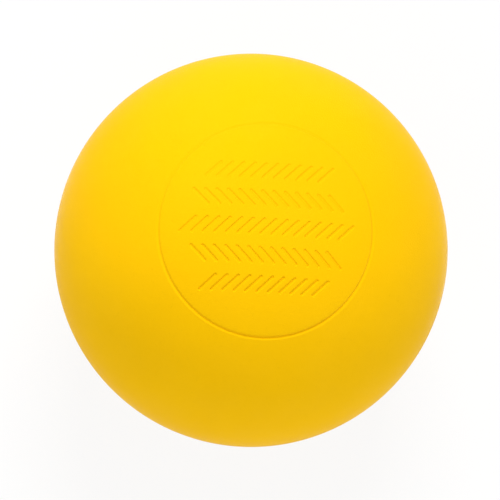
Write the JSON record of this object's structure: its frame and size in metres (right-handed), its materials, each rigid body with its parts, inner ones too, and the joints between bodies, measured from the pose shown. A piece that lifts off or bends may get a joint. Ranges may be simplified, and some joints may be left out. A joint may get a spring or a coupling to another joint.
{
  "type": "lacrosse ball",
  "caption": "Solid rubber ball with bonded half covers over a core, a fine moulded circle and sunk herringbone ribs, thrown and caught with a netted stick.",
  "frame": {"origin": "the ball's centre", "axes": "+Z along the moulding axis, out through the moulded circle; +X along the rows of ribs; the parting line lies in the XY plane"},
  "size_m": [0.0634, 0.0634, 0.0635],
  "materials": {
    "cover_rubber": "matte",
    "core_rubber": "matte"
  },
  "bodies": {
    "root": {"core": "core_rubber", "upper_cover": "cover_rubber", "lower_cover": "cover_rubber"}
  },
  "joints": []
}
